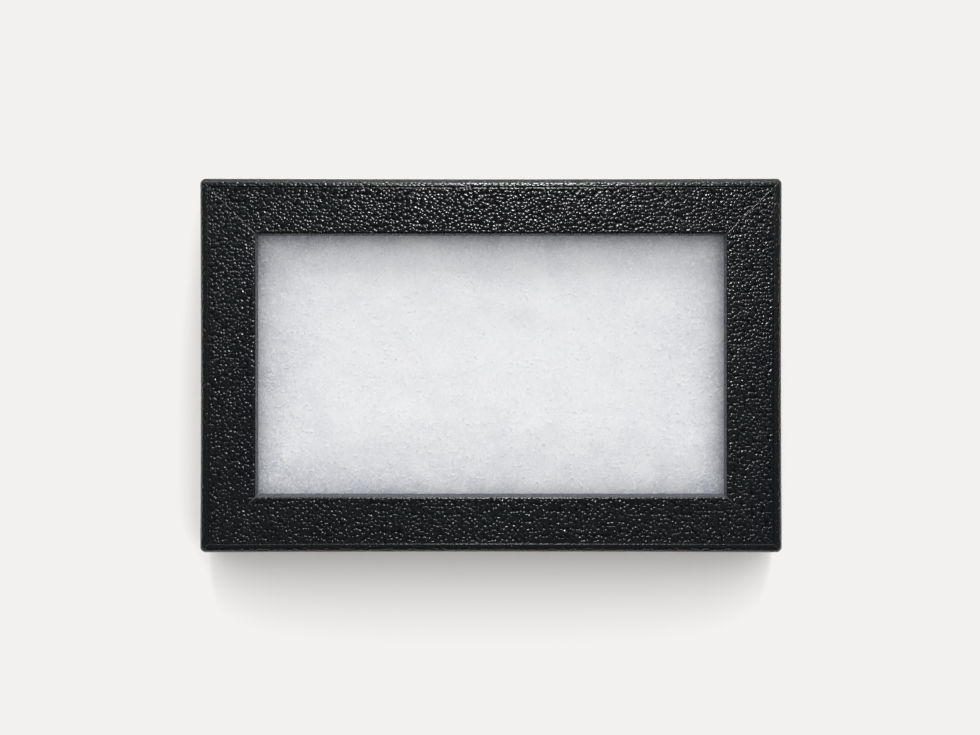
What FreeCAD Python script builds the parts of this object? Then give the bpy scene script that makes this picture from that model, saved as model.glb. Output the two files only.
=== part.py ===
import FreeCAD, Part
import Sketcher
import math
import os

# Glazed collection case: a board tray filled with batting, under a lift-off board lid with a glass window.
# Both are covered with leatherette paper. Millimetres, +Z up, the origin in the middle of the underside.
# The long sides are the front (-Y) and the back (+Y).

SIZES = {
    # The closed case
    "case_length": 140.0,
    "case_width": 90.0,
    "case_height": 19.0,
    # Sheet materials
    "board_thickness": 1.2,
    "wrap_thickness": 0.2,
    "tape_thickness": 0.1,
    "bottom_sheet_thickness": 0.2,
    # The lid's face: its border, the bead along the outer edge and the groove inside the bead
    "border_width": 13.7,
    "lip_round": 1.2,
    "bead_rise": 0.3,
    "bead_round": 1.35,
    "bead_inner_round": 0.3,
    "groove_bevel": 0.7,
    "lid_corner_round": 1.4,
    "lid_floor_gap": 0.8,
    # How far the covering paper is turned in
    "window_flap": 8.0,
    "wall_turn_in": 8.0,
    "bottom_flap": 9.0,
    # The glass and the strips that hold it
    "glass_thickness": 2.0,
    "glass_play": 0.5,
    "glass_arris": 0.3,
    "retainer_width": 6.0,
    "retainer_thickness": 1.2,
    # The tray and its fit in the lid
    "lid_play": 0.5,
    "rest_gap": 0.3,
    "tray_corner_round": 1.2,
    "rim_round": 0.5,
    "bottom_sheet_margin": 1.5,
    # The tape stays round the corners
    "stay_leg": 9.0,
    "stay_margin": 1.0,
    # The batting
    "batting_play": 0.3,
    "batting_corner_round": 5.0,
    "batting_draw_in": 0.7,
    "batting_bottom_round": 1.4,
    "batting_shoulder": 3.4,
    "batting_crown": 1.5,
    "batting_crown_run": 24.0,
}

LENGTH_SIDES = ("front", "back")
WIDTH_SIDES = ("left", "right")
QUARTER_TURNS = {"front": 0, "right": 90, "back": 180, "left": -90}
SAME = 1e-4
ROUND_STEPS = 3
CROWN_STEPS = 5

doc = FreeCAD.newDocument("collection_case")
sheet = doc.addObject("Spreadsheet::Sheet", "Sizes")
for row, (word, size) in enumerate(SIZES.items(), start=1):
    sheet.set(f"A{row}", word)
    sheet.set(f"B{row}", str(size))
    sheet.setAlias(f"B{row}", word)
doc.recompute()


def cell(word):
    return f"Sizes.{word}"


def number(expression):
    """The value of an expression, for what the sheet can't be bound to."""
    return float(sheet.evalExpression(expression))


# Layers of the lid's side, each as an inset from its outer face
lid_face = "0"
lid_skin = cell("wrap_thickness")
lid_board = f"({lid_skin} + {cell('tape_thickness')})"
lid_inside = f"({lid_board} + {cell('board_thickness')})"
lid_turned = f"({lid_inside} + {cell('wrap_thickness')})"

# Layers of the tray's side, as insets from the same face
tray_face = f"({lid_turned} + {cell('lid_play')})"
tray_skin = f"({tray_face} + {cell('wrap_thickness')})"
tray_board = f"({tray_skin} + {cell('tape_thickness')})"
tray_inside = f"({tray_board} + {cell('board_thickness')})"
tray_turned = f"({tray_inside} + {cell('wrap_thickness')})"

# The window, the glass and its retainers, as insets from the same face
sight_edge = cell("border_width")
window_board = f"({sight_edge} - {cell('wrap_thickness')})"
flap_edge = f"({sight_edge} - {cell('window_flap')})"
glass_edge = f"({lid_inside} + {cell('glass_play')})"
retainer_edge = f"({lid_inside} + {cell('retainer_width')})"

# Heights of the lid, from the bead down
bead_top = cell("case_height")
wall_top = f"({bead_top} - {cell('wrap_thickness')})"
face_top = f"({bead_top} - {cell('bead_rise')})"
face_board_top = f"({face_top} - {cell('wrap_thickness')})"
face_board_low = f"({face_board_top} - {cell('board_thickness')})"
glass_top = f"({face_board_low} - {cell('wrap_thickness')})"
glass_low = f"({glass_top} - {cell('glass_thickness')})"
retainer_low = f"({glass_low} - {cell('retainer_thickness')})"
lid_low = cell("lid_floor_gap")
lid_wall_low = f"({lid_low} + {cell('wrap_thickness')})"
lid_turn_top = f"({lid_low} + {cell('wall_turn_in')})"

# Heights of the tray, from the floor up
flap_low = cell("bottom_sheet_thickness")
tray_wall_low = f"({flap_low} + {cell('wrap_thickness')})"
tray_floor_top = f"({tray_wall_low} + {cell('board_thickness')})"
rim_top = f"({retainer_low} - {cell('rest_gap')})"
tray_wall_top = f"({rim_top} - {cell('wrap_thickness')})"
tray_turn_low = f"({rim_top} - {cell('wall_turn_in')})"

# The rounds of the boards, less the layers that cover them
covered = f"({cell('wrap_thickness')} + {cell('tape_thickness')})"


def span(length, inset):
    return f"({cell(length)} - 2 * {inset})"


def new_object(kind, name):
    item = doc.addObject(kind, name)
    item.Label = name
    return item


def tie(item, expressions):
    """Binds an object's properties to the sheet."""
    for path, expression in expressions.items():
        item.setExpression(path, expression)
    return item


# Sketched features inside one body

def origin_plane(body, role):
    return next(plane for plane in body.Origin.OriginFeatures if plane.Role == role)


def rectangle(body, inset, height):
    """A sketched rectangle, centred, inset all round from the lid's outer face, at a height."""
    sketch = body.newObject("Sketcher::SketchObject", "rectangle")
    sketch.AttachmentSupport = [(origin_plane(body, "XY_Plane"), "")]
    sketch.MapMode = "FlatFace"
    sketch.setExpression(".AttachmentOffset.Base.z", height)
    corners = [FreeCAD.Vector(x, y, 0) for x, y in ((-1, -1), (1, -1), (1, 1), (-1, 1))]
    for start, end in zip(corners, corners[1:] + corners[:1]):
        sketch.addGeometry(Part.LineSegment(start, end))
    for side in range(4):
        sketch.addConstraint(Sketcher.Constraint("Coincident", side, 2, (side + 1) % 4, 1))
    for side in (0, 2):
        sketch.addConstraint(Sketcher.Constraint("Horizontal", side))
        sketch.addConstraint(Sketcher.Constraint("Vertical", side + 1))
    sketch.addConstraint(Sketcher.Constraint("Symmetric", 0, 1, 1, 2, -1, 1))
    length = sketch.addConstraint(Sketcher.Constraint("DistanceX", 0, 1, 0, 2, 2.0))
    width = sketch.addConstraint(Sketcher.Constraint("DistanceY", 1, 1, 1, 2, 2.0))
    sketch.renameConstraint(length, "length")
    sketch.renameConstraint(width, "width")
    sketch.setExpression("Constraints.length", span("case_length", inset))
    sketch.setExpression("Constraints.width", span("case_width", inset))
    return sketch


def pad(body, inset, low, high):
    """Raises a block between two heights."""
    feature = body.newObject("PartDesign::Pad", "pad")
    feature.Profile = rectangle(body, inset, low)
    tie(feature, {"Length": f"{high} - {low}"})
    doc.recompute()


def pocket(body, inset, high, low):
    """Sinks a rectangular hole from one height to a lower one."""
    before = body.Shape.Volume
    feature = body.newObject("PartDesign::Pocket", "pocket")
    feature.Profile = rectangle(body, inset, high)
    tie(feature, {"Length": f"{high} - {low}"})
    doc.recompute()
    if body.Shape.Volume > before - SAME:
        raise RuntimeError(f"a pocket in {body.Label} cut nothing")


def bevelled_island(body, low_inset, high_inset, low, high):
    """Raises a block whose four sides slope inwards on the way up."""
    feature = body.newObject("PartDesign::AdditiveWedge", "island")
    feature.AttachmentSupport = [(origin_plane(body, "XZ_Plane"), "")]
    feature.MapMode = "FlatFace"
    for end, inset in (("", low_inset), ("2", high_inset)):
        half_length = f"{span('case_length', inset)} / 2"
        half_width = f"{span('case_width', inset)} / 2"
        tie(feature, {f"X{end}min": f"-{half_length}", f"X{end}max": half_length})
        tie(feature, {f"Z{end}min": f"-{half_width}", f"Z{end}max": half_width})
    tie(feature, {"Ymin": low, "Ymax": high})
    doc.recompute()


def dress(body, kind, size_name, size, wanted):
    """Rounds or bevels those edges of a body that a test picks."""
    base = body.Tip
    picked = [f"Edge{i}" for i, edge in enumerate(base.Shape.Edges, start=1) if wanted(edge)]
    if not picked:
        raise RuntimeError(f"{body.Label} has no such edge to dress")
    feature = body.newObject(kind, kind.split("::")[1].lower())
    feature.Base = (base, picked)
    feature.setExpression(size_name, size)
    doc.recompute()


def fillet(body, radius, wanted):
    dress(body, "PartDesign::Fillet", "Radius", radius, wanted)


def chamfer(body, size, wanted):
    dress(body, "PartDesign::Chamfer", "Size", size, wanted)


def upright(inset):
    """Picks the upright corner edges of the rectangle at this inset."""
    x = number(span("case_length", inset)) / 2
    y = number(span("case_width", inset)) / 2

    def wanted(edge):
        bounds = edge.BoundBox
        stands = bounds.XLength < SAME and bounds.YLength < SAME
        return stands and abs(abs(bounds.XMin) - x) < SAME and abs(abs(bounds.YMin) - y) < SAME

    return wanted


def level(height, inset):
    """Picks the level edges that run round at this height and inset, with their corners."""
    x = number(span("case_length", inset)) / 2
    y = number(span("case_width", inset)) / 2
    z = number(height)

    def wanted(edge):
        bounds = edge.BoundBox
        reach_x = max(abs(bounds.XMin), abs(bounds.XMax))
        reach_y = max(abs(bounds.YMin), abs(bounds.YMax))
        lies = bounds.ZLength < SAME and abs(bounds.ZMin - z) < SAME
        inside = reach_x < x + SAME and reach_y < y + SAME
        return lies and inside and (reach_x > x - SAME or reach_y > y - SAME)

    return wanted


def block(name, inset, low, high):
    """A body that is one block, centred, between two heights."""
    body = new_object("PartDesign::Body", name)
    pad(body, inset, low, high)
    return body


def rounded_block(name, inset, low, high, corner_round):
    body = block(name, inset, low, high)
    fillet(body, corner_round, upright(inset))
    return body


def wall_ring(name, outside, inside, low, high, corner_round):
    """The four walls of the lid or the tray in one, before they are parted."""
    body = rounded_block(name, outside, low, high, corner_round)
    pocket(body, inside, high, low)
    return body


# Plain primitives and booleans

def bar(name, side, ends, near, far, low, high):
    """A block along one side, between two insets from it, with its ends inset from the next sides."""
    depth = f"({far} - {near})"
    item = new_object("Part::Box", name)
    if side in LENGTH_SIDES:
        run = span("case_length", ends)
        start = near if side == "front" else f"({cell('case_width')} - {far})"
        tie(item, {"Length": run, "Width": depth})
        tie(item, {".Placement.Base.x": f"-{run} / 2"})
        tie(item, {".Placement.Base.y": f"{start} - {cell('case_width')} / 2"})
    else:
        run = span("case_width", ends)
        start = near if side == "left" else f"({cell('case_length')} - {far})"
        tie(item, {"Length": depth, "Width": run})
        tie(item, {".Placement.Base.x": f"{start} - {cell('case_length')} / 2"})
        tie(item, {".Placement.Base.y": f"-{run} / 2"})
    tie(item, {"Height": f"{high} - {low}", ".Placement.Base.z": low})
    return item


def corner_block(name, long_side, short_side, reach, low, high):
    """A square block over one corner of the case."""
    item = new_object("Part::Box", name)
    x_start = "0" if short_side == "left" else f"({cell('case_length')} - {reach})"
    y_start = "0" if long_side == "front" else f"({cell('case_width')} - {reach})"
    tie(item, {"Length": reach, "Width": reach, "Height": f"{high} - {low}"})
    tie(item, {".Placement.Base.x": f"{x_start} - {cell('case_length')} / 2"})
    tie(item, {".Placement.Base.y": f"{y_start} - {cell('case_width')} / 2"})
    tie(item, {".Placement.Base.z": low})
    return item


def mitre_block(name, side, low, high):
    """The part of the case that belongs to one side, parted from the next sides along the mitres.

    It is drawn as the front's and turned into place: a ridge in the middle of the case, sloping at 45
    degrees in plan to a base a little outside it.
    """
    along, across = ("case_length", "case_width") if side in LENGTH_SIDES else ("case_width", "case_length")
    outside = cell("board_thickness")
    reach = f"({cell(along)} / 2 + {outside})"
    ridge = f"({cell('case_length')} - {cell('case_width')}) / 2" if side in LENGTH_SIDES else "0"
    item = new_object("Part::Wedge", name)
    tie(item, {"Xmin": f"-{reach}", "Xmax": reach, "X2min": f"-{ridge}", "X2max": ridge})
    tie(item, {"Ymin": f"-({cell(across)} / 2 + {outside})"})
    tie(item, {"Ymax": f"({cell('case_width')} - {cell(across)}) / 2"})
    tie(item, {"Zmin": low, "Zmax": high, "Z2min": low, "Z2max": high})
    item.Placement.Rotation = FreeCAD.Rotation(FreeCAD.Vector(0, 0, 1), QUARTER_TURNS[side])
    return item


def cut(name, base, tool):
    item = new_object("Part::Cut", name)
    item.Base = base
    item.Tool = tool
    return item


def common(name, base, tool):
    item = new_object("Part::Common", name)
    item.Base = base
    item.Tool = tool
    return item


def fuse(name, pieces):
    item = new_object("Part::MultiFuse", name)
    item.Shapes = pieces
    return item


def frame_ring(name, outside, inside, low, high):
    """A flat ring of rectangular section."""
    return cut(name, block(f"{name}_outline", outside, low, high), block(f"{name}_hole", inside, low, high))


def four_walls(prefix, ring, outside, inside, low, high):
    """Parts a ring into its four wall boards: the long ones run through, the short ones butt between them."""
    walls = []
    for side in LENGTH_SIDES + WIDTH_SIDES:
        ends = outside if side in LENGTH_SIDES else inside
        place = bar(f"{prefix}_wall_{side}_place", side, ends, outside, inside, low, high)
        walls.append(common(f"{prefix}_wall_{side}", ring, place))
    return walls


def four_stays(prefix, outside, inside, low, high, corner_round):
    """Paper tape glued round each upright corner, over the boards and under the covering."""
    inner_round = f"({corner_round} - {cell('tape_thickness')})"
    tape = rounded_block(f"{prefix}_tape_outside", outside, low, high, corner_round)
    ring = cut(f"{prefix}_tape", tape, rounded_block(f"{prefix}_tape_inside", inside, low, high, inner_round))
    reach = f"({inside} + {cell('stay_leg')})"
    stays = []
    for long_side in LENGTH_SIDES:
        for short_side in WIDTH_SIDES:
            name = f"{prefix}_stay_{long_side}_{short_side}"
            place = corner_block(f"{name}_place", long_side, short_side, reach, low, high)
            stays.append(common(name, ring, place))
    return stays


# The lid's boards

def lid_boards():
    face = block("lid_face_board", lid_inside, face_board_low, face_board_top)
    chamfer(face, cell("groove_bevel"), level(face_board_top, lid_inside))
    pocket(face, window_board, face_board_top, face_board_low)
    fillet(face, f"{cell('lip_round')} - {cell('wrap_thickness')}", level(face_board_top, window_board))

    corner_round = f"({cell('lid_corner_round')} - {covered})"
    ring = wall_ring("lid_walls", lid_board, lid_inside, lid_wall_low, wall_top, corner_round)
    fillet(ring, f"{cell('bead_round')} - {covered}", level(wall_top, lid_board))
    fillet(ring, f"{cell('bead_inner_round')} - {cell('wrap_thickness')}", level(wall_top, lid_inside))
    return [face] + four_walls("lid", ring, lid_board, lid_inside, lid_wall_low, wall_top)


def lid_stays():
    low = f"({lid_wall_low} + {cell('stay_margin')})"
    high = f"({face_board_low} - {cell('stay_margin')})"
    corner_round = f"({cell('lid_corner_round')} - {cell('wrap_thickness')})"
    return four_stays("lid", lid_skin, lid_board, low, high, corner_round)


# The lid's covering: four strips of leatherette, mitred on the face and turned in all round

def lid_form(name, outside, behind_bead, low, top, face, slope_top, floor, window, layers):
    """The lid as a solid, as seen from outside at one depth of its layers."""
    body = rounded_block(name, outside, low, top, f"{cell('lid_corner_round')} - {layers}")
    fillet(body, f"{cell('bead_round')} - {layers}", level(top, outside))
    pocket(body, behind_bead, top, floor)
    fillet(body, f"{cell('bead_inner_round')} - {layers}", level(top, behind_bead))
    bevelled_island(body, behind_bead, slope_top, floor, face)
    pocket(body, window, face, low)
    fillet(body, f"{cell('lip_round')} - {layers}", level(face, window))
    return body


def lid_covering():
    bevel = cell("groove_bevel")
    paper = cell("wrap_thickness")
    board_slope_top = f"({lid_inside} + {bevel})"
    board_floor = f"({face_board_top} - {bevel})"
    paper_slope_top = f"({board_slope_top} - (sqrt(2) - 1) * {paper})"
    paper_floor = f"({face_top} - ({paper_slope_top} - {lid_turned}))"
    outside = lid_form(
        "lid_wrap_outside", lid_face, lid_turned, lid_low, bead_top, face_top,
        paper_slope_top, paper_floor, sight_edge, "0",
    )
    inside = lid_form(
        "lid_wrap_inside", lid_skin, lid_inside, lid_wall_low, wall_top, face_board_top,
        board_slope_top, board_floor, window_board, paper,
    )
    skin = cut("lid_skin", outside, inside)
    open_skin = cut("lid_open_skin", skin, block("lid_hollow", lid_turned, lid_low, glass_top))
    turned_in = frame_ring("lid_wall_turn_in", lid_inside, lid_turned, lid_low, lid_turn_top)
    flap = frame_ring("lid_window_flap", flap_edge, sight_edge, glass_top, face_board_low)
    covering = fuse("lid_covering", [open_skin, turned_in, flap])
    strips = []
    for side in LENGTH_SIDES + WIDTH_SIDES:
        quarter = mitre_block(f"lid_wrap_{side}_place", side, lid_low, bead_top)
        strips.append(common(f"lid_wrap_{side}", covering, quarter))
    return strips


# The glass, pushed up against the turned-in paper round the window, and the board strips glued in under it

def glazing():
    glass = block("glass_pane", glass_edge, glass_low, glass_top)
    chamfer(glass, cell("glass_arris"), lambda edge: True)
    retainers = []
    for side in LENGTH_SIDES + WIDTH_SIDES:
        ends = lid_inside if side in LENGTH_SIDES else retainer_edge
        name = f"glass_retainer_{side}"
        retainers.append(bar(name, side, ends, lid_inside, retainer_edge, retainer_low, glass_low))
    return [glass] + retainers


# The tray's boards

def tray_boards():
    floor_board = block("tray_floor_board", tray_inside, tray_wall_low, tray_floor_top)
    corner_round = f"({cell('tray_corner_round')} - {covered})"
    ring = wall_ring("tray_walls", tray_board, tray_inside, tray_wall_low, tray_wall_top, corner_round)
    fillet(ring, f"{cell('rim_round')} - {covered}", level(tray_wall_top, tray_board))
    return [floor_board] + four_walls("tray", ring, tray_board, tray_inside, tray_wall_low, tray_wall_top)


def tray_stays():
    low = f"({tray_wall_low} + {cell('stay_margin')})"
    high = f"({tray_wall_top} - {cell('stay_margin')})"
    corner_round = f"({cell('tray_corner_round')} - {cell('wrap_thickness')})"
    return four_stays("tray", tray_skin, tray_board, low, high, corner_round)


# The tray's covering: one strip round its sides, turned in over the rim and under the bottom

def tray_covering():
    outside = rounded_block("tray_wrap_outside", tray_face, flap_low, rim_top, cell("tray_corner_round"))
    fillet(outside, cell("rim_round"), level(rim_top, tray_face))
    paper = cell("wrap_thickness")
    corner_round = f"{cell('tray_corner_round')} - {paper}"
    inside = rounded_block("tray_wrap_inside", tray_skin, tray_wall_low, tray_wall_top, corner_round)
    fillet(inside, f"{cell('rim_round')} - {paper}", level(tray_wall_top, tray_skin))
    skin = cut("tray_skin", outside, inside)
    open_top = cut("tray_open_skin", skin, block("tray_mouth", tray_turned, tray_wall_top, rim_top))
    flap_inset = f"({tray_face} + {cell('bottom_flap')})"
    both_open = cut("tray_strip", open_top, block("tray_underside", flap_inset, flap_low, tray_wall_low))
    turned_in = frame_ring("tray_wall_turn_in", tray_inside, tray_turned, tray_turn_low, rim_top)
    return fuse("tray_wrap", [both_open, turned_in])


def tray_bottom_sheet():
    margin = f"({tray_face} + {cell('bottom_sheet_margin')})"
    return block("tray_bottom_sheet", margin, "0", flap_low)


# The batting: a crowned pad whose sides draw in between its corners, flat where it lies on the tray's floor

def batting_outline(inset, height):
    """One level outline of the pad: four corner arcs and four shallow arcs drawn in along the sides."""
    x = number(span("case_length", inset)) / 2
    y = number(span("case_width", inset)) / 2
    corner = number(cell("batting_corner_round"))
    draw_in = number(cell("batting_draw_in"))
    short = corner * (1 - math.sqrt(0.5))
    half_round = [
        (FreeCAD.Vector(x - corner, -y, 0), FreeCAD.Vector(x - short, short - y, 0)),
        (FreeCAD.Vector(x, corner - y, 0), FreeCAD.Vector(x - draw_in, 0, 0)),
        (FreeCAD.Vector(x, y - corner, 0), FreeCAD.Vector(x - short, y - short, 0)),
        (FreeCAD.Vector(x - corner, y, 0), FreeCAD.Vector(0, y - draw_in, 0)),
    ]
    other_half = [(-start, -middle) for start, middle in half_round]
    arcs = half_round + other_half
    edges = []
    for (start, middle), (end, _) in zip(arcs, arcs[1:] + arcs[:1]):
        edges.append(Part.Arc(start, middle, end).toShape())
    outline = Part.Wire(edges)
    outline.translate(FreeCAD.Vector(0, 0, height))
    return outline


def batting():
    floor = number(tray_floor_top)
    top = number(f"{glass_low} - {cell('rest_gap')}")
    widest = number(f"{tray_turned} + {cell('batting_play')}")
    shoulder_edge = number(f"{retainer_edge} + {cell('rest_gap')}")
    bottom_round = number(cell("batting_bottom_round"))
    shoulder = number(cell("batting_shoulder"))
    crown = number(cell("batting_crown"))
    crown_run = number(cell("batting_crown_run"))
    shoulder_top = top - crown
    levels = []
    for step in range(ROUND_STEPS + 1):
        angle = math.pi / 2 * step / ROUND_STEPS
        inset = widest + bottom_round * (1 - math.sin(angle))
        levels.append((inset, floor + bottom_round * (1 - math.cos(angle))))
    for step in range(ROUND_STEPS + 1):
        angle = math.pi / 2 * step / ROUND_STEPS
        inset = widest + (shoulder_edge - widest) * (1 - math.cos(angle))
        levels.append((inset, shoulder_top - shoulder * (1 - math.sin(angle))))
    for step in range(1, CROWN_STEPS + 1):
        share = step / CROWN_STEPS
        inset = shoulder_edge + crown_run * share
        levels.append((inset, shoulder_top + crown * math.sin(share * math.pi / 2)))
    pad_shape = Part.makeLoft([batting_outline(inset, height) for inset, height in levels], True, True)
    item = new_object("Part::Feature", "batting_pad")
    item.Shape = pad_shape
    return item


parts = lid_boards()
parts += lid_stays()
parts += lid_covering()
parts += glazing()
parts += tray_boards()
parts += tray_stays()
parts += [tray_covering(), tray_bottom_sheet(), batting()]
doc.recompute()

for item in doc.Objects:
    if {"Invalid", "Error"} & set(item.State):
        raise RuntimeError(f"{item.Label} failed: {item.State}")
for part in parts:
    if part.Shape.isNull() or not part.Shape.isValid():
        raise RuntimeError(f"{part.Label} has no valid shape")
    if len(part.Shape.Solids) != 1:
        raise RuntimeError(f"{part.Label} has {len(part.Shape.Solids)} solids")

os.makedirs("parts", exist_ok=True)
for part in parts:
    part.Shape.exportStep(f"parts/{part.Label}.step")
    bounds = part.Shape.BoundBox
    print(f"{part.Label}: {bounds.XLength:.2f} x {bounds.YLength:.2f} x {bounds.ZLength:.2f}, "
          f"z {bounds.ZMin:.2f} to {bounds.ZMax:.2f}, {part.Shape.Volume:.1f} mm3")
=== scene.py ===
import math
import random

import bmesh
import bpy
import numpy as np
from mathutils import Matrix, Vector, noise


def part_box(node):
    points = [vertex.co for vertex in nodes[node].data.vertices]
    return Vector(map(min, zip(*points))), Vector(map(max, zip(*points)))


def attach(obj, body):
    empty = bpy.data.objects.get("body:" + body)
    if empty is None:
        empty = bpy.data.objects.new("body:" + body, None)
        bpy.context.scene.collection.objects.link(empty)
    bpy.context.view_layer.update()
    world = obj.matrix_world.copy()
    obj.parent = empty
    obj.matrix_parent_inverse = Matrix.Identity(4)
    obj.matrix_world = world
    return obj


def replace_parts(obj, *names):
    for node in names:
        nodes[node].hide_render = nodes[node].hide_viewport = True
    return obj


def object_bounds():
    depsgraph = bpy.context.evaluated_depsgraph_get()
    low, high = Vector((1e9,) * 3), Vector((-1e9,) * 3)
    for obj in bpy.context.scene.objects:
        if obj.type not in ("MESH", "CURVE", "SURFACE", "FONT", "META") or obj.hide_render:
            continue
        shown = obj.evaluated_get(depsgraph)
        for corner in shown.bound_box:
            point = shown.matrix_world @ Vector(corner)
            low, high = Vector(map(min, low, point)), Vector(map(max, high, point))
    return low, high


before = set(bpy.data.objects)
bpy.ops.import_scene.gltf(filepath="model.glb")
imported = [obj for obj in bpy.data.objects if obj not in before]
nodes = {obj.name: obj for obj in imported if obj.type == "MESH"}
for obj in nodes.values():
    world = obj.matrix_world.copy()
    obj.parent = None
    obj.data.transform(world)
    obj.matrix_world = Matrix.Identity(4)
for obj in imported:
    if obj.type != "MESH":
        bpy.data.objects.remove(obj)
cad_low, cad_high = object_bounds()
mm = 0.001
SIDES = ("front", "right", "back", "left")

# Boards
# The tray's floor and walls, the lid's face and walls, and the strips that hold the glass are grey chipboard,
# pressed from pulped waste paper, cut square and glued edge to edge. It shows where the paper isn't turned in.


def linear(code):
    """The linear colour of an sRGB hex value, with alpha."""
    shares = [int(code[start:start + 2], 16) / 255 for start in (1, 3, 5)]
    return (*(c / 12.92 if c <= 0.04045 else ((c + 0.055) / 1.055) ** 2.4 for c in shares), 1.0)


def feed(material, node, inputs):
    """Sets a node's inputs, each to a value or to the output that feeds it."""
    for socket, source in inputs.items():
        if isinstance(source, bpy.types.NodeSocket):
            material.node_tree.links.new(source, node.inputs[socket])
        else:
            node.inputs[socket].default_value = source


def add(material, kind, inputs, **settings):
    """Adds a node to a material, with its settings and inputs."""
    node = material.node_tree.nodes.new(kind)
    for name, value in settings.items():
        setattr(node, name, value)
    feed(material, node, inputs)
    return node


def new_material(name):
    """A new material and its Principled shader."""
    material = bpy.data.materials.new(name)
    material.use_nodes = True
    return material, material.node_tree.nodes["Principled BSDF"]


def paint(node_name, material):
    """Gives a CAD node its material."""
    nodes[node_name].data.materials.clear()
    nodes[node_name].data.materials.append(material)


# Grey chipboard, unbleached and uncoated: matte, with short pale and dark fibres and a slightly rough face.
board_light = linear("#b3ada2")
board_dark = linear("#8f897e")
board_fleck = linear("#6d665c")
board_fibre = (1.6 * mm, 0.35 * mm, 0.35 * mm)
board_fleck_spacing = 2.5 * mm
board_fleck_sizes = (0.04, 0.1)
board_fleck_strength = 0.7
board_tooth = 0.02 * mm

grey_board, surface = new_material("grey_chipboard_uncoated")
place = add(grey_board, "ShaderNodeTexCoord", {}).outputs["Object"]
stretch = add(grey_board, "ShaderNodeMapping", {
    "Vector": place, "Scale": [1 / length for length in board_fibre],
})
fibres = add(grey_board, "ShaderNodeTexNoise", {
    "Vector": stretch.outputs["Vector"], "Scale": 1.0, "Detail": 5.0, "Roughness": 0.6, "Distortion": 1.2,
})
flecks = add(grey_board, "ShaderNodeTexVoronoi", {"Vector": place, "Scale": 1 / board_fleck_spacing})
spots = add(grey_board, "ShaderNodeMapRange", {
    "Value": flecks.outputs["Distance"], "From Min": board_fleck_sizes[0], "From Max": board_fleck_sizes[1],
    "To Min": board_fleck_strength, "To Max": 0.0,
})
tone = add(grey_board, "ShaderNodeMix", {
    0: fibres.outputs["Fac"], 6: board_dark, 7: board_light,
}, data_type="RGBA")
colour = add(grey_board, "ShaderNodeMix", {
    0: spots.outputs["Result"], 6: tone.outputs[2], 7: board_fleck,
}, data_type="RGBA")
bump = add(grey_board, "ShaderNodeBump", {"Height": fibres.outputs["Fac"], "Distance": board_tooth})
feed(grey_board, surface, {
    "Base Color": colour.outputs[2], "Roughness": 0.9, "Specular IOR Level": 0.3,
    "Normal": bump.outputs["Normal"],
})

for name in ("lid_face_board", "tray_floor_board"):
    paint(name, grey_board)
for side in SIDES:
    for part in ("lid_wall", "tray_wall", "glass_retainer"):
        paint(f"{part}_{side}", grey_board)

# Corner stays
# Each upright corner of both boxes is held by a strip of gummed brown kraft paper, glued over the boards before
# the covering goes on. It is dull brown, with fine lines along its length.
kraft_light = linear("#bf9f78")
kraft_dark = linear("#a38259")
kraft_line = (0.5 * mm, 0.5 * mm, 6 * mm)

kraft_tape, surface = new_material("brown_kraft_tape_gummed")
place = add(kraft_tape, "ShaderNodeTexCoord", {}).outputs["Object"]
stretch = add(kraft_tape, "ShaderNodeMapping", {
    "Vector": place, "Scale": [1 / length for length in kraft_line],
})
lines = add(kraft_tape, "ShaderNodeTexNoise", {
    "Vector": stretch.outputs["Vector"], "Scale": 1.0, "Detail": 4.0,
})
colour = add(kraft_tape, "ShaderNodeMix", {
    0: lines.outputs["Fac"], 6: kraft_dark, 7: kraft_light,
}, data_type="RGBA")
feed(kraft_tape, surface, {"Base Color": colour.outputs[2], "Roughness": 0.75})

for box in ("lid", "tray"):
    for corner in ("front_left", "front_right", "back_left", "back_right"):
        paint(f"{box}_stay_{corner}", kraft_tape)

# Tray covering
# One strip of black leatherette goes round the tray's sides, turned in over the rim and under the floor. The
# leatherette is paper coated with pigmented resin and pressed with a pebble grain, glued down over the boards.
sheet_low, sheet_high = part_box("tray_bottom_sheet")
paper = sheet_high.z - sheet_low.z

# The mesh carries the grain's low relief. The small steep pebbles on it are in the material. Each strip is cut
# from another place on the roll.
pebble_pitch = 1.08 * mm
pebble_height = 0.03 * mm
pebble_edge = 0.62
pebble_least = 0.55
pebble_tilt = 0.55
pressed_edge = 0.1 * mm
roll_width = 0.2
bow_insets = (2 * mm, 10 * mm)


def pressed_grain(along, across, seed):
    """Heights of the grain on the flat sheet, from 0 in a crease to about 1 on a pebble."""
    spots = np.stack([along, across], -1) / pebble_pitch
    spots -= np.floor(spots.min(0)) - 2
    home = np.floor(spots).astype(int)
    draws = np.random.default_rng(seed).random((*(home.max(0) + 3), 5))
    nearest = np.full(len(spots), np.inf)
    second = np.full(len(spots), np.inf)
    pebble = np.zeros((len(spots), 5))
    offset = np.zeros_like(spots)
    for step_x in (-1, 0, 1):
        for step_y in (-1, 0, 1):
            cell = home + (step_x, step_y)
            draw = draws[cell[:, 0], cell[:, 1]]
            away = spots - cell - draw[:, :2]
            gap = np.hypot(away[:, 0], away[:, 1])
            closer = gap < nearest
            second = np.where(closer, nearest, np.minimum(second, gap))
            nearest = np.where(closer, gap, nearest)
            pebble = np.where(closer[:, None], draw, pebble)
            offset = np.where(closer[:, None], away, offset)
    rise = 1 - (1 - np.clip((second - nearest) / pebble_edge, 0, 1)) ** 2
    tilt = ((pebble[:, 2:4] - 0.5) * offset).sum(-1) * pebble_tilt
    return rise * (pebble_least + (1 - pebble_least) * pebble[:, 4] + tilt)


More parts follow.
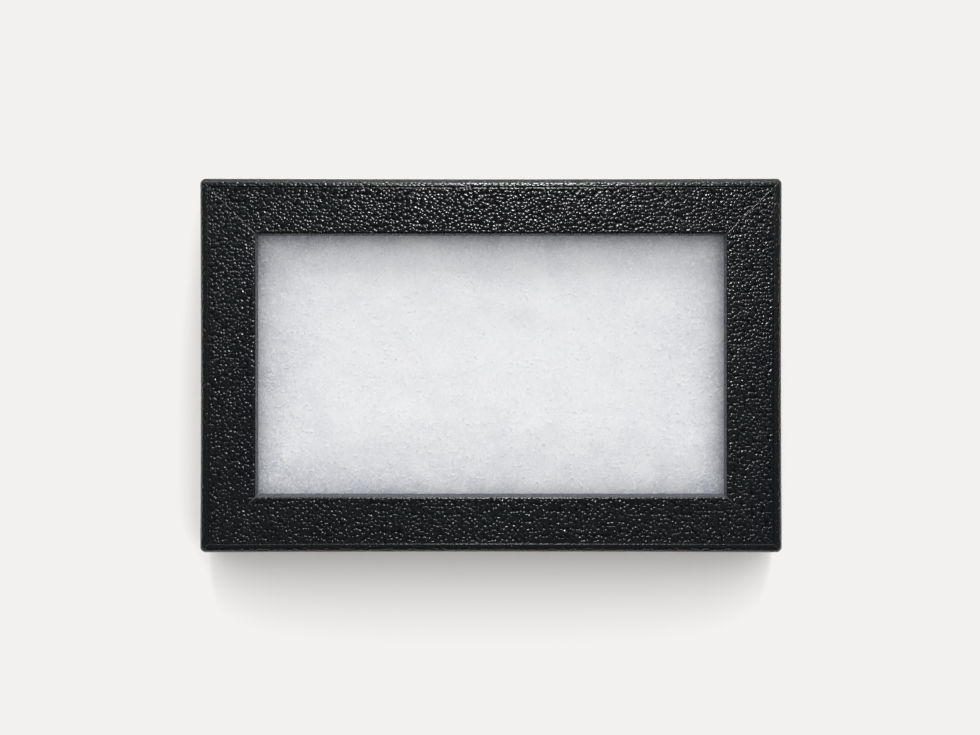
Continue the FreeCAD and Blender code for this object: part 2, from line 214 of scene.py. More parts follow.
def folded_path(corners):
    """The line of a folded sheet's outer face, past corners that each have an inset, a height and a radius.

    Gives its points, its headings and the lengths run to them, and the lengths run to the start, middle and end
    of each corner's round.
    """
    points = [Vector(corner[:2]) for corner in corners]
    first = points[1] - points[0]
    heading = math.atan2(first.y, first.x)
    line, headings, run = [points[0]], [heading], 0.0
    stations = [(0.0, 0.0, 0.0)]
    for here, after, corner in zip(points[1:], points[2:], corners[1:]):
        way_out = after - here
        turn = math.remainder(math.atan2(way_out.y, way_out.x) - heading, math.tau)
        radius = math.copysign(corner[2], turn)
        start = here - Vector((math.cos(heading), math.sin(heading))) * radius * math.tan(turn / 2)
        centre = start + Vector((-math.sin(heading), math.cos(heading))) * radius
        run += (start - line[-1]).length
        around = abs(turn * radius)
        stations.append((run, run + around / 2, run + around))
        run += around
        steps = max(4, round(abs(turn) * 16))
        for angle in (heading + turn * step / steps for step in range(steps + 1)):
            line.append(centre + Vector((math.sin(angle), -math.cos(angle))) * radius)
            headings.append(angle)
        heading += turn
    run += (points[-1] - line[-1]).length
    stations.append((run, run, run))
    line = np.array([*line, points[-1]])
    lengths = np.concatenate([[0.0], np.cumsum(np.hypot(*np.diff(line, axis=0).T))])
    return line, np.array([*headings, heading]), lengths * run / lengths[-1], stations


def sheet_rows(stretches):
    """Where a sheet's rows lie, for stretches that each have an end and a spacing."""
    rows, start = [], 0.0
    for end, spacing in stretches:
        rows += list(np.linspace(start, end, max(1, round((end - start) / spacing)), endpoint=False))
        start = end
    return np.array(rows + [start])


def fold_strip(shape, side, path, rows, spacing, grain, seed, corner, seam=0.0, gap=None, bow=0.0):
    """Folds one side's strip of covering round its boards, as a tube with open ends.

    The path gives the strip's outer face, and corner the inset of the rounded corners' centres. grain gives the
    grain's strength at lengths run. seam is how far the strip's cut ends are pressed down, and gap gives the gap
    left at a mitre. bow draws the middle of the side in, fully up to the first of the bow's insets and not at
    all from the second.
    """
    line, headings, lengths, stations = path
    half_run, half_out = (cad_high.x, cad_high.y) if side in ("front", "back") else (cad_high.y, cad_high.x)
    back = np.unique(np.round(np.ravel(stations), 7))[::-1]
    across = np.concatenate([rows, back, rows[:1]])
    columns = round(2 * half_run / spacing)
    made = bmesh.ops.create_grid(shape, x_segments=columns, y_segments=len(across) - 1, size=1.0)["verts"]
    grid = np.array([vertex.co for vertex in made])
    share = grid[:, 0]
    row = np.round((grid[:, 1] + 1) / 2 * (len(across) - 1)).astype(int)
    is_back = (row >= len(rows)) & (row < len(across) - 1)
    run = across[row]
    turn = np.interp(run, lengths, headings)
    inset = np.interp(run, lengths, line[:, 0])
    height = np.interp(run, lengths, line[:, 1])

    arc = np.maximum(corner - inset, 0.0)
    straight = half_run - np.maximum(corner, inset)
    reach = straight + arc * math.pi / 4 - (gap(inset) if gap else 0.0)
    place = share * reach
    angle = np.clip((np.abs(place) - straight) / np.maximum(arc, 1e-9), 0, math.pi / 4) * np.sign(place)
    edge = np.exp(-((1 - np.abs(share)) * reach / pressed_edge) ** 2)
    depth = grain(run, stations) * (1 - edge)
    sink = pebble_height * depth * (1 - pressed_grain(place, run, seed)) + seam * edge
    level = np.where(is_back, paper, sink)
    pushed = level * np.sin(turn)
    drawn = bow * (1 - share ** 2) * np.interp(inset, bow_insets, (1, 0))
    x = np.clip(place, -straight, straight) + (arc + pushed) * np.sin(angle)
    y = drawn + np.maximum(corner, inset) - half_out - (arc + pushed) * np.cos(angle)
    z = height + level * np.cos(turn)
    for _ in range(SIDES.index(side)):
        x, y = -y, x
    layers = shape.verts.layers
    for kind, name in ((layers.float_vector, "flat"), (layers.float, "grain")):
        if kind.get(name) is None:
            kind.new(name)
    flat, grain_depth = layers.float_vector["flat"], layers.float["grain"]
    spots = np.stack([x, y, z], -1)
    flat_spots = np.stack([place, run + seed * roll_width, 0 * run], -1)
    for vertex, spot, flat_spot, strength in zip(list(shape.verts)[-len(grid):], spots, flat_spots, depth):
        vertex.co = spot
        vertex[flat] = flat_spot
        vertex[grain_depth] = strength


# The resin's finish: near black and glossy, the gloss uneven from the press. Its small pebbles are steep domes
# that each catch one dot of light, with fine wrinkles over them. Where the sheet is drawn tight over an edge the
# pebbles are flat and the gloss is duller. Where the grain fades out, on the window's lip and at the strips'
# joins, a blue-grey is painted in: a painted reflection of the batting in the lip's slope.
resin_pale = linear("#131517")
resin_deep = linear("#0c0e10")
lip_reflection_grey = linear("#6d7178")
resin_patch_size = 5 * mm
small_pebble_pitch = 0.88 * mm
small_pebble_height = 0.68 * mm
small_pebble_scatter = 0.85
small_pebble_lean = 0.1
small_pebble_swell = (0.55, 1.25)
small_pebble_fall = 3.0
press_pull_size = 2.2 * mm
press_pull = 0.9 * mm
wrinkle_size = 0.5 * mm
wrinkle_share = 0.02
reflection_grain_limit = 0.12
reflection_share = 0.3
dull_grain = (0.5, 0.9)
dull_roughness = (0.32, 0.12)
patch_roughness = 0.2
noise_middle = (0.5, 0.5, 0.5)

leatherette, surface = new_material("black_leatherette_paper_pebbled")
flat_place = add(leatherette, "ShaderNodeAttribute", {}, attribute_name="flat").outputs["Vector"]
depth = add(leatherette, "ShaderNodeAttribute", {}, attribute_name="grain").outputs["Fac"]
stretched = add(leatherette, "ShaderNodeTexNoise", {
    "Vector": flat_place, "Scale": 1 / press_pull_size, "Detail": 2.0,
})
pull = add(leatherette, "ShaderNodeVectorMath", {
    0: stretched.outputs["Color"], 1: noise_middle,
}, operation="SUBTRACT")
pulled = add(leatherette, "ShaderNodeVectorMath", {
    0: pull.outputs["Vector"], 1: (press_pull, press_pull, 0.0), 2: flat_place,
}, operation="MULTIPLY_ADD")
cells = add(leatherette, "ShaderNodeTexVoronoi", {
    "Vector": pulled.outputs["Vector"], "Scale": 1 / small_pebble_pitch, "Randomness": small_pebble_scatter,
}, voronoi_dimensions="2D")
fall = add(leatherette, "ShaderNodeMath", {
    0: cells.outputs["Distance"], 1: small_pebble_fall,
}, operation="POWER")
shares = add(leatherette, "ShaderNodeSeparateColor", {"Color": cells.outputs["Color"]})
swell = add(leatherette, "ShaderNodeMapRange", {
    "Value": shares.outputs["Red"], "To Min": -small_pebble_swell[0], "To Max": -small_pebble_swell[1],
})
domes = add(leatherette, "ShaderNodeMath", {
    0: fall.outputs["Value"], 1: swell.outputs["Result"],
}, operation="MULTIPLY")
lean = add(leatherette, "ShaderNodeVectorMath", {
    0: cells.outputs["Color"], 1: noise_middle,
}, operation="SUBTRACT")
from_middle = add(leatherette, "ShaderNodeVectorMath", {
    0: pulled.outputs["Vector"], 1: cells.outputs["Position"],
}, operation="SUBTRACT")
leverage = add(leatherette, "ShaderNodeVectorMath", {
    0: from_middle.outputs["Vector"], 1: (small_pebble_lean / small_pebble_pitch,) * 2 + (0.0,),
}, operation="MULTIPLY")
leaning = add(leatherette, "ShaderNodeVectorMath", {
    0: lean.outputs["Vector"], 1: leverage.outputs["Vector"],
}, operation="DOT_PRODUCT")
pebbles = add(leatherette, "ShaderNodeMath", {0: domes.outputs["Value"], 1: leaning.outputs["Value"]})
wrinkles = add(leatherette, "ShaderNodeTexNoise", {
    "Vector": flat_place, "Scale": 1 / wrinkle_size, "Detail": 3.0, "Roughness": 0.6,
})
relief = add(leatherette, "ShaderNodeMath", {
    0: wrinkles.outputs["Fac"], 1: wrinkle_share, 2: pebbles.outputs["Value"],
}, operation="MULTIPLY_ADD")
pressed = add(leatherette, "ShaderNodeMath", {0: relief.outputs["Value"], 1: depth}, operation="MULTIPLY")
bump = add(leatherette, "ShaderNodeBump", {
    "Height": pressed.outputs["Value"], "Distance": small_pebble_height,
})
patches = add(leatherette, "ShaderNodeTexNoise", {
    "Vector": flat_place, "Scale": 1 / resin_patch_size, "Detail": 3.0,
})
resin = add(leatherette, "ShaderNodeMix", {
    0: patches.outputs["Fac"], 6: resin_deep, 7: resin_pale,
}, data_type="RGBA")
# Painted reflection: blue-grey mixed in where the grain fades, on the window's lip and at the strips' joins.
painted_reflection = add(leatherette, "ShaderNodeMapRange", {
    "Value": depth, "From Max": reflection_grain_limit, "To Min": reflection_share, "To Max": 0.0,
})
colour = add(leatherette, "ShaderNodeMix", {
    0: painted_reflection.outputs["Result"], 6: resin.outputs[2], 7: lip_reflection_grey,
}, data_type="RGBA")
duller = add(leatherette, "ShaderNodeMapRange", {
    "Value": depth, "From Min": dull_grain[0], "From Max": dull_grain[1],
    "To Min": dull_roughness[0], "To Max": dull_roughness[1],
})
gloss = add(leatherette, "ShaderNodeMapRange", {
    "Value": patches.outputs["Fac"], "From Min": 0.3, "From Max": 0.7,
    "To Min": duller.outputs["Result"], "To Max": patch_roughness,
})
feed(leatherette, surface, {
    "Base Color": colour.outputs[2], "Roughness": gloss.outputs["Result"], "Specular IOR Level": 0.5,
    "Normal": bump.outputs["Normal"],
})

# Where the covering is cut its core shows, a tan paper, unglazed and matte, with fine fibres.
core_dark = linear("#a08d72")
core_light = linear("#c4b59c")
core_fibre = 0.2 * mm
weld = 0.002 * mm

cut_paper, surface = new_material("tan_paper_core_cut")
place = add(cut_paper, "ShaderNodeTexCoord", {}).outputs["Object"]
fibres = add(cut_paper, "ShaderNodeTexNoise", {"Vector": place, "Scale": 1 / core_fibre, "Detail": 3.0})
colour = add(cut_paper, "ShaderNodeMix", {
    0: fibres.outputs["Fac"], 6: core_dark, 7: core_light,
}, data_type="RGBA")
feed(cut_paper, surface, {"Base Color": colour.outputs[2], "Roughness": 0.85})


def new_object(name, shape):
    """Makes a bmesh an object of the scene."""
    mesh = bpy.data.meshes.new(name)
    shape.to_mesh(mesh)
    shape.free()
    made = bpy.data.objects.new(name, mesh)
    bpy.context.collection.objects.link(made)
    return made


def finish_sheet(name, shape, body):
    """Closes the ends of a folded covering, turns its faces outward and places it as a piece on a body."""
    bmesh.ops.remove_doubles(shape, verts=shape.verts, dist=weld)
    ends = [edge for edge in shape.edges if edge.is_boundary]
    caps = bmesh.ops.holes_fill(shape, edges=ends, sides=0)["faces"]
    bmesh.ops.recalc_face_normals(shape, faces=shape.faces)
    for face in shape.faces:
        face.smooth = True
    for face in bmesh.ops.triangulate(shape, faces=caps)["faces"]:
        face.material_index = 1
        face.smooth = False
    piece = new_object(name, shape)
    piece.data.materials.append(leatherette)
    piece.data.materials.append(cut_paper)
    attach(piece, body)
    return piece


# The covering's places are insets from the case's outer face, and heights. Its rows lie closest round the folds.
tray_low, tray_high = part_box("tray_wrap")
tray_face = tray_low.x - cad_low.x
tray_corner = 3.4 * mm
tray_inner = 3.9 * mm
tray_turn_in = 8 * mm
tray_bottom_flap = 9 * mm
rim_round = 0.5 * mm
fold_round = 0.2 * mm
tray_spacing = 0.38 * mm
rim_grain = 0.4
tray_side_grain = 0.9

tray_path = folded_path([
    (tray_inner, tray_high.z - tray_turn_in, 0),
    (tray_inner, tray_high.z, fold_round),
    (tray_face, tray_high.z, rim_round),
    (tray_face, tray_low.z, fold_round),
    (tray_face + tray_bottom_flap, tray_low.z, 0),
])
_, rim_inner, rim_outer, bottom_fold, tray_end = tray_path[3]
tray_rows = sheet_rows([
    (rim_inner[0], 1.2 * mm), (rim_outer[2], 0.17 * mm), (bottom_fold[0], 0.4 * mm), (bottom_fold[2], 0.08 * mm),
    (tray_end[0], 1.5 * mm),
])


def tray_grain(run, stations):
    """The grain's strength, which is less inside the tray and over its rim, where the paper is drawn tight."""
    rim_end = stations[2][2]
    return np.where(run < rim_end, rim_grain, tray_side_grain)


shape = bmesh.new()
for seed, side in enumerate(SIDES):
    fold_strip(shape, side, tray_path, tray_rows, tray_spacing, tray_grain, seed, tray_corner)
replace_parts(finish_sheet("tray_covering", shape, "tray"), "tray_wrap")

# Tray bottom sheet
# A sheet of plain black paper, glued under the tray over the turned-in leatherette. It is matte and a little
# fibrous.
paper_black = linear("#2a2a2b")
paper_worn = linear("#3b3a39")
paper_fibre = 0.6 * mm
paper_tooth = 0.02 * mm

black_paper, surface = new_material("black_paper_uncoated")
place = add(black_paper, "ShaderNodeTexCoord", {}).outputs["Object"]
fibres = add(black_paper, "ShaderNodeTexNoise", {
    "Vector": place, "Scale": 1 / paper_fibre, "Detail": 6.0, "Roughness": 0.65, "Distortion": 1.5,
})
colour = add(black_paper, "ShaderNodeMix", {
    0: fibres.outputs["Fac"], 6: paper_black, 7: paper_worn,
}, data_type="RGBA")
bump = add(black_paper, "ShaderNodeBump", {"Height": fibres.outputs["Fac"], "Distance": paper_tooth})
feed(black_paper, surface, {
    "Base Color": colour.outputs[2], "Roughness": 0.85, "Specular IOR Level": 0.3,
    "Normal": bump.outputs["Normal"],
})
paint("tray_bottom_sheet", black_paper)

# Batting
# A pad of white polyester batting fills the tray. Its loose fibres spring up under the glass into a low crown
# with soft shoulders, and it is held by its own spring. It is uneven, as fibre wadding is.
pad_low, pad_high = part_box("batting_pad")
pad_corner = 5 * mm
shoulder_run = 3.6 * mm
shoulder_drop = 2.5 * mm
crown = 1.5 * mm
crown_run = 24 * mm
pad_draw_in = 0.7 * mm
pad_clearance = 0.1 * mm
pad_spacing = 0.5 * mm
hollow_size = 11 * mm
hollow_height = 0.12 * mm
tuft_size = 2.4 * mm
tuft_height = 0.03 * mm
# Painted shade on the batting's colour: slight in the middle, growing within a border towards each edge.
shade_border = 9 * mm
shade_fade_x = 9 * mm
shade_fade_y = 7 * mm
shade_middle = 0.1
shade_edge = 0.3

# The pad's side below its shoulder, as heights and insets in millimetres.
pad_side = (
    (8.6, 0.25), (7.2, 0.5), (5.8, 0.6), (4.4, 0.5), (3.0, 0.2), (2.35, 0.3), (1.85, 0.75), (1.6, 1.4),
)

# The pad's top laid flat, from its middle to where its shoulders end.
shoulder_arc = math.pi / 4 * (shoulder_run + shoulder_drop)
half_x = pad_high.x + shoulder_arc - shoulder_run
half_y = pad_high.y + shoulder_arc - shoulder_run


def pad_plan(share, half, full):
    """Distance from the middle of the pad, at a share of the way over its top to the edge."""
    over = (1 - abs(share)) * full
    inset = shoulder_run * (1 - math.cos(over / shoulder_arc * math.pi / 2))
    if over > shoulder_arc:
        inset = shoulder_run + over - shoulder_arc
    return math.copysign(half - inset, share)


def pad_edge(x, y):
    """How far a place lies inside the pad's outline, and the way out from there."""
    over_x = max(abs(x) - pad_high.x + pad_corner, 0)
    over_y = max(abs(y) - pad_high.y + pad_corner, 0)
    away = math.hypot(over_x, over_y)
    inside = min(pad_high.x - abs(x), pad_high.y - abs(y))
    if over_x > 0 and over_y > 0:
        inside = pad_corner - away
    return inside, Vector((math.copysign(over_x, x), math.copysign(over_y, y))) / max(away, 1e-9)


def pad_top(x, y):
    """Height of the pad's smooth top."""
    inside, _ = pad_edge(x, y)
    fall = max(1 - inside / shoulder_run, 0)
    rise = crown * math.sin(min(max(inside - shoulder_run, 0) / crown_run, 1) * math.pi / 2)
    return pad_high.z - crown + rise - shoulder_drop * (1 - math.sqrt(max(1 - fall ** 2, 0)))


def pad_unevenness(spot):
    """Height of the batting's unevenness, from wide hollows to tufts."""
    hollows = noise.fractal(spot / hollow_size, 1.0, 2.0, 2)
    tufts = noise.fractal(spot / tuft_size + Vector((7, 3, 1)), 0.9, 2.1, 3)
    return hollow_height * hollows + tuft_height * tufts


shape = bmesh.new()
bmesh.ops.create_grid(
    shape, x_segments=round(2 * half_x / pad_spacing), y_segments=round(2 * half_y / pad_spacing), size=1.0,
)
for vertex in shape.verts:
    x = pad_plan(vertex.co.x, pad_high.x, half_x)
    y = pad_plan(vertex.co.y, pad_high.y, half_y)
    over_x = max(abs(x) - pad_high.x + pad_corner, 0)
    over_y = max(abs(y) - pad_high.y + pad_corner, 0)
    if over_x > 0 and over_y > 0:
        x -= math.copysign(over_x * (1 - math.sqrt(1 - (over_y / pad_corner) ** 2 / 2)), x)
        y -= math.copysign(over_y * (1 - math.sqrt(1 - (over_x / pad_corner) ** 2 / 2)), y)
    vertex.co = x, y, pad_top(x, y)

rim = [edge for edge in shape.edges if edge.is_boundary]
last = 0.0
for height, inset in pad_side:
    made = bmesh.ops.extrude_edge_only(shape, edges=rim)["geom"]
    for vertex in (element for element in made if isinstance(element, bmesh.types.BMVert)):
        _, way_out = pad_edge(vertex.co.x, vertex.co.y)
        vertex.co.z = height * mm
        vertex.co.xy -= way_out * (inset - last) * mm
    last = inset
    rim = [element for element in made if isinstance(element, bmesh.types.BMEdge) and element.is_boundary]
bmesh.ops.holes_fill(shape, edges=rim, sides=0)

# The pad is drawn in a little between its corners, and its painted edge shade is kept for the material.
painted_edge_shade = shape.verts.layers.float.new("edge_shade")
for vertex in shape.verts:
    fade_x = math.exp(-max(pad_high.x - abs(vertex.co.x) - shade_border, 0) / shade_fade_x)
    fade_y = math.exp(-max(pad_high.y - abs(vertex.co.y) - shade_border, 0) / shade_fade_y)
    vertex[painted_edge_shade] = shade_middle + shade_edge * (fade_x + fade_y)
    share_x, share_y = vertex.co.x / pad_high.x, vertex.co.y / pad_high.y
    vertex.co.x -= pad_draw_in * share_x * (1 - share_y ** 2)
    vertex.co.y -= pad_draw_in * share_y * (1 - share_x ** 2)
    if vertex.co.z > pad_low.z + pad_clearance:
        vertex.co.z += pad_unevenness(vertex.co) - pad_clearance
bmesh.ops.recalc_face_normals(shape, faces=shape.faces)
for face in shape.faces:
    face.smooth = True
batting = new_object("batting", shape)

# Polyester batting: white and fully matte, a web of curled fibres. A fibre is about 0.03 mm thick, too fine to
# show, so the web is drawn with coarser threads. A blue-grey painted shade darkens it between the threads, in
# cloudy patches and most towards its edges, standing in for the shadow of the lid's border.
wadding_white = linear("#d8d8d9")
wadding_shade_grey = linear("#a3a7b1")
thread_curl = 1.1 * mm
thread_width = 0.026
thread_height = 0.012 * mm
cloud_size = 9 * mm
cloud_shares = (0.55, 1.45)
between_threads_shade = 1.6
threads_full_at = 1.3

wadding, surface = new_material("white_polyester_batting_matte")
place = add(wadding, "ShaderNodeTexCoord", {}).outputs["Object"]
edge_shade = add(wadding, "ShaderNodeAttribute", {}, attribute_name="edge_shade").outputs["Fac"]
clouds = add(wadding, "ShaderNodeTexNoise", {
    "Vector": place, "Scale": 1 / cloud_size, "Detail": 4.0, "Roughness": 0.6,
})
threads = None
for turn in ((0.0, 0.0, 0.0), (0.4, 0.3, 1.1), (0.9, -0.5, 2.3)):
    turned = add(wadding, "ShaderNodeMapping", {"Vector": place, "Rotation": turn})
    curls = add(wadding, "ShaderNodeTexNoise", {
        "Vector": turned.outputs["Vector"], "Scale": 1 / thread_curl, "Detail": 2.0, "Distortion": 0.6,
    })
    off_line = add(wadding, "ShaderNodeMath", {0: curls.outputs["Fac"], 1: 0.5}, operation="SUBTRACT")
    apart = add(wadding, "ShaderNodeMath", {0: off_line.outputs["Value"]}, operation="ABSOLUTE")
    thread = add(wadding, "ShaderNodeMapRange", {
        "Value": apart.outputs["Value"], "From Max": thread_width, "To Min": 1.0, "To Max": 0.0,
    }).outputs["Result"]
    if threads:
        thread = add(wadding, "ShaderNodeMath", {0: threads, 1: thread}, operation="ADD").outputs["Value"]
    threads = thread
cloudy = add(wadding, "ShaderNodeMapRange", {
    "Value": clouds.outputs["Fac"], "From Min": 0.3, "From Max": 0.7,
    "To Min": cloud_shares[0], "To Max": cloud_shares[1],
})
# Painted shade: strongest at the edges and between the threads, varied by the clouds.
painted_shade = add(wadding, "ShaderNodeMath", {0: edge_shade, 1: cloudy.outputs["Result"]}, operation="MULTIPLY")
shade_between_threads = add(wadding, "ShaderNodeMapRange", {
    "Value": threads, "From Max": threads_full_at, "To Min": between_threads_shade, "To Max": 0.0,
})
greyness = add(wadding, "ShaderNodeMath", {
    0: painted_shade.outputs["Value"], 1: shade_between_threads.outputs["Result"],
}, operation="MULTIPLY", use_clamp=True)
colour = add(wadding, "ShaderNodeMix", {
    0: greyness.outputs["Value"], 6: wadding_white, 7: wadding_shade_grey,
}, data_type="RGBA")
bump = add(wadding, "ShaderNodeBump", {"Height": threads, "Distance": thread_height})
feed(wadding, surface, {
    "Base Color": colour.outputs[2], "Roughness": 1.0, "Specular IOR Level": 0.1,
    "Normal": bump.outputs["Normal"],
})
batting.data.materials.append(wadding)
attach(batting, "tray")
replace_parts(batting, "batting_pad")

# Batting fibres
# Loose ends of the batting's fibres curl up over its top. Each is a polyester thread, drawn at three times its
# real 0.03 mm to be seen at all, and lies in an arc or an S with its ends sunk into the pad.
fibre_shapes = 10
fibre_doublings = 9
fibre_width = 0.09 * mm
fibre_sides = 3
fibre_curls = (0.3 * mm, 0.9 * mm)
fibre_bends = (0.5, 1.9)
fibre_steps = 3
fibre_crowding = 1.5
fibre_arch = 0.09 * mm
fibre_sink = 0.15 * mm

# A few shapes are doubled until there are enough. Then each copy is turned and laid at a place of its own.
draw = random.Random(8)
shape = bmesh.new()
for _ in range(fibre_shapes):
    ring = bmesh.ops.create_circle(shape, segments=fibre_sides, radius=fibre_width / 2)["verts"]
    bmesh.ops.rotate(shape, verts=ring, matrix=Matrix.Rotation(math.pi / 2, 3, "X"))
    ring += list({edge for vertex in ring for edge in vertex.link_edges})
    middle, side = Vector(), Vector((1, 0, 0))
    for bend in (1, draw.choice((1, -1))):
        hub = middle + side * bend * draw.uniform(*fibre_curls)
        angle = draw.uniform(*fibre_bends)
        ring = bmesh.ops.spin(
            shape, geom=ring, cent=hub, axis=(0, 0, -bend), angle=angle, steps=fibre_steps,
        )["geom_last"]
        turn = Matrix.Rotation(-bend * angle, 3, "Z")
        middle, side = hub + turn @ (middle - hub), turn @ side
bmesh.ops.holes_fill(shape, edges=shape.edges, sides=fibre_sides)
for _ in range(fibre_doublings):
    bmesh.ops.duplicate(shape, geom=[*shape.verts, *shape.edges, *shape.faces])
rings = 2 * fibre_steps + 1
for number, vertex in enumerate(shape.verts):
    if number % (fibre_sides * rings) == 0:
        lay = Matrix.Rotation(draw.uniform(0, math.tau), 3, "Z")
        spot = Vector((pad_high.x - shoulder_run, pad_high.y - shoulder_run, 0))
        spot = Vector(math.sin(draw.uniform(-fibre_crowding, fibre_crowding)) * along for along in spot)
    vertex.co = spot + lay @ vertex.co
    arch = math.sin(number // fibre_sides % rings / (rings - 1) * math.pi)
    vertex.co.z += pad_top(vertex.co.x, vertex.co.y) + fibre_arch * arch - fibre_sink
    vertex.co.z += pad_unevenness(vertex.co)
bmesh.ops.recalc_face_normals(shape, faces=shape.faces)
for face in shape.faces:
    face.smooth = True
loose_fibres = new_object("batting_fibres", shape)

# The same polyester, a bright thread with a slight gloss along it, here and there a little duller.
thread_dull = linear("#e9eaec")
thread_bright = linear("#f6f7f8")
dull_length = 2 * mm

thread_white, surface = new_material("white_polyester_thread_glossy")
place = add(thread_white, "ShaderNodeTexCoord", {}).outputs["Object"]
dull = add(thread_white, "ShaderNodeTexNoise", {"Vector": place, "Scale": 1 / dull_length, "Detail": 2.0})
colour = add(thread_white, "ShaderNodeMix", {
    0: dull.outputs["Fac"], 6: thread_dull, 7: thread_bright,
}, data_type="RGBA")
feed(thread_white, surface, {"Base Color": colour.outputs[2], "Roughness": 0.6, "Specular IOR Level": 0.3})
loose_fibres.data.materials.append(thread_white)
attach(loose_fibres, "tray")

# Lid covering
# Four strips of the leatherette, mitred on the face and glued down. Each runs from under the window's edge, over
# the lip and the face, down into the groove, over the bead and down the side, and is turned up inside the wall.
board_low, board_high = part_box("lid_face_board")
lid_low, lid_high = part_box("lid_wrap_front")
face_top = board_high.z + paper
flap_under = board_low.z - paper

# The lip slopes. Its top edge stands back from the window by lip_slope, and its lower edge stands into it by
# lip_belly, which differs from side to side.
sight_edge = 13.7 * mm
window_flap = 8 * mm
lip_slope = 0.5 * mm
lip_belly = {"front": 0.64 * mm, "right": 0.42 * mm, "back": 0.2 * mm, "left": 0.42 * mm}
lip_round = 0.8 * mm
groove_edge_round = 0.25 * mm
groove_bevel = 0.17 * mm
groove_round = 0.05 * mm
bead_inner = 2.0 * mm
bead_inner_round = 0.13 * mm
bead_round = 1.55 * mm
wall_inner = 1.7 * mm
lid_turn_in = 8 * mm
lid_corner = 1.4 * mm
lid_bow = 0.17 * mm
lid_spacing = 0.28 * mm
mitre_gap = 0.001 * mm
mitre_seam = 0.012 * mm
window_corner_gap = 0.1 * mm
window_corner_run = 2.4 * mm


def lid_grain(run, stations):
    """The grain's strength, which is less where the paper is drawn tight over the lip, the groove and the bead."""
    lip, groove_edge, _, bead_edge, bead = stations[2:7]
    strengths = (
        (lip[0], 0.0), (lip[1], 0.3), (lip[2] + 0.3 * mm, 1.0), (groove_edge[0] - 0.4 * mm, 1.0),
        (groove_edge[0], 0.25), (bead_edge[2], 0.2), (bead[0], 0.32), (bead[2], 0.5), (bead[2] + 0.8 * mm, 0.8),
    )
    return np.interp(run, *zip(*strengths))


def lid_gap(inset):
    """The gap at a mitre, which parts a little at the window's corners."""
    return mitre_gap + window_corner_gap * np.clip((inset - sight_edge) / window_corner_run + 1, 0, 1)


for seed, side in enumerate(SIDES):
    lid_path = folded_path([
        (sight_edge - window_flap, flap_under, 0),
        (sight_edge + lip_belly[side], flap_under, fold_round),
        (sight_edge - lip_slope, face_top, lip_round),
        (bead_inner + groove_bevel, face_top, groove_edge_round),
        (bead_inner, face_top - groove_bevel, groove_round),
        (bead_inner, lid_high.z, bead_inner_round),
        (0, lid_high.z, bead_round),
        (0, lid_low.z, fold_round),
        (wall_inner, lid_low.z, fold_round),
        (wall_inner, lid_low.z + lid_turn_in, 0),
    ])
    _, lip_under, lip, groove_edge, _, bead_edge, bead, lower_fold, inner_fold, lid_end = lid_path[3]
    lid_rows = sheet_rows([
        (lip_under[0], 2 * mm), (lip_under[2], 0.1 * mm), (lip[0], 0.15 * mm), (lip[2], 0.16 * mm),
        (groove_edge[0], 0.25 * mm), (bead_edge[2], 0.12 * mm), (bead[2], 0.16 * mm), (lower_fold[0], 0.34 * mm),
        (lower_fold[2], 0.1 * mm), (inner_fold[2], 0.3 * mm), (lid_end[0], 1.2 * mm),
    ])
    shape = bmesh.new()
    fold_strip(
        shape, side, lid_path, lid_rows, lid_spacing, lid_grain, seed + 10, lid_corner, mitre_seam, lid_gap,
        lid_bow,
    )
    strip = finish_sheet(f"lid_covering_{side}", shape, "lid")
    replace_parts(strip, f"lid_wrap_{side}")

# Glass
# A pane of 2 mm clear float glass, cut to the lid, with its arrises ground off. It is held up against the
# turned-in leatherette by the strips below it.
white = linear("#ffffff")

# Clear and smooth: it lets the batting show as it is, and mirrors more of the room the flatter it is seen. Only
# its outer faces mirror.
pane_glass, surface = new_material("clear_float_glass")
pane_glass.node_tree.nodes.remove(surface)
clear = add(pane_glass, "ShaderNodeBsdfTransparent", {"Color": white})
gloss = add(pane_glass, "ShaderNodeBsdfGlossy", {"Color": white, "Roughness": 0.02})
fresnel = add(pane_glass, "ShaderNodeFresnel", {"IOR": 1.52})
within = add(pane_glass, "ShaderNodeNewGeometry", {}).outputs["Backfacing"]
mirrored = add(pane_glass, "ShaderNodeMapRange", {
    "Value": within, "To Min": fresnel.outputs["Fac"], "To Max": 0.0,
})
both = add(pane_glass, "ShaderNodeMixShader", {
    0: mirrored.outputs["Result"], 1: clear.outputs["BSDF"], 2: gloss.outputs["BSDF"],
})
feed(pane_glass, pane_glass.node_tree.nodes["Material Output"], {"Surface": both.outputs["Shader"]})
paint("glass_pane", pane_glass)

# Floor, light and camera
# The case lies on a pale sheet of paper under a soft light from beyond its back edge, and is seen from straight
# above.
floor_white = linear("#f4f2f0")
floor_half = 2.0

shape = bmesh.new()
bmesh.ops.create_grid(shape, x_segments=1, y_segments=1, size=floor_half)
floor = new_object("floor", shape)
floor_paper, surface = new_material("pale_paper_matte")
feed(floor_paper, surface, {"Base Color": floor_white, "Roughness": 1.0, "Specular IOR Level": 0.0})
floor.data.materials.append(floor_paper)


def aimed(name, data, place, target):
    """Places a light and turns it to its target."""
    lamp = bpy.data.objects.new(name, data)
    lamp.location = place
    lamp.rotation_euler = (Vector(target) - Vector(place)).to_track_quat("-Z", "Y").to_euler()
    bpy.context.collection.objects.link(lamp)
    return lamp


# Daylight from a window beyond the back edge, low and softened by a blind. It throws the soft floor shadow.
window_light = bpy.data.lights.new("window_light", "SUN")
window_light.energy = 2.94
window_light.angle = 0.4
lamp = aimed("window_light", window_light, (0.05, 1.0, 0.28), (0, 0, 0))
lamp.visible_glossy = False

# A small lamp and a long pale sill, both beyond the back edge, show only as the resin's glints. The glass
# mirrors neither, as the photographed pane shows no light in it.
glint_energy = 0.3
glint_target = (0, 0, 0.019)

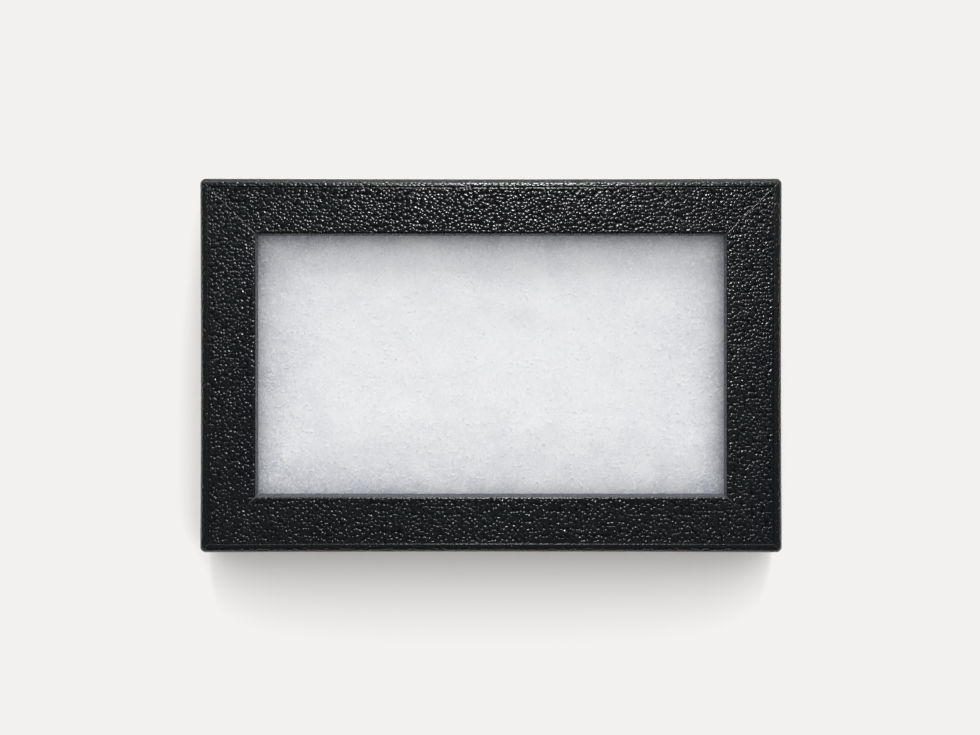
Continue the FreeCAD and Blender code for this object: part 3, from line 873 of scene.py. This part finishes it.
unmirrored = bpy.data.collections.new("unmirrored")
unmirrored.objects.link(nodes["glass_pane"])
unmirrored.collection_objects[0].light_linking.link_state = "EXCLUDE"
for name, length, width, spot in (
    ("lamp_light", 0.04, 0.036, (0.008, 0.11, 0.15)),
    ("sill_light", 0.42, 0.04, (0.02, 0.2, 0.12)),
):
    glint_light = bpy.data.lights.new(name, "AREA")
    glint_light.shape = "RECTANGLE"
    glint_light.energy = glint_energy
    glint_light.size = length
    glint_light.size_y = width
    lamp = aimed(name, glint_light, spot, glint_target)
    lamp.visible_diffuse = False
    lamp.light_linking.receiver_collection = unmirrored

# The room's light is even, with more of it from beyond the back and right edges. Gloss shows little of it.
room_lean = (0.32, 1.02, 0.0)
room_middle = 1.18
room_in_gloss = 0.065

room = bpy.data.worlds.new("room")
room.use_nodes = True
direction = add(room, "ShaderNodeTexCoord", {}).outputs["Generated"]
brighter = add(room, "ShaderNodeVectorMath", {0: direction, 1: room_lean}, operation="DOT_PRODUCT")
even = add(room, "ShaderNodeMath", {0: brighter.outputs["Value"], 1: room_middle})
to_gloss = add(room, "ShaderNodeLightPath", {}).outputs["Is Glossy Ray"]
share = add(room, "ShaderNodeMapRange", {"Value": to_gloss, "To Min": 1.0, "To Max": room_in_gloss})
strength = add(room, "ShaderNodeMath", {
    0: even.outputs["Value"], 1: share.outputs["Result"],
}, operation="MULTIPLY")
feed(room, room.node_tree.nodes["Background"], {"Color": white, "Strength": strength.outputs["Value"]})
bpy.context.scene.world = room

# The camera looks straight down. Its picture is as wide as picture_width at the height of picture_z.
camera_distance = 0.55
camera_middle = (-0.24 * mm, -0.51 * mm)
picture_width = 0.2358
picture_z = 17.65 * mm

camera = bpy.data.objects.new("camera", bpy.data.cameras.new("camera"))
camera.data.sensor_width = 36
camera.data.lens = camera.data.sensor_width * camera_distance / picture_width
camera.location = (*camera_middle, camera_distance + picture_z)
camera.data.clip_start = 0.01
bpy.context.collection.objects.link(camera)
bpy.context.scene.camera = camera

# The photograph's floor is burnt out to one pale tone, so the picture's tones stop there.
floor_tone = linear("#f3f1ef")
view = bpy.context.scene.view_settings
view.view_transform = "Standard"
view.use_curve_mapping = True
for curve, tone in zip(view.curve_mapping.curves, floor_tone):
    curve.points[1].location = tone, tone
    for point in curve.points:
        point.handle_type = "VECTOR"
view.curve_mapping.extend = "HORIZONTAL"
view.curve_mapping.update()
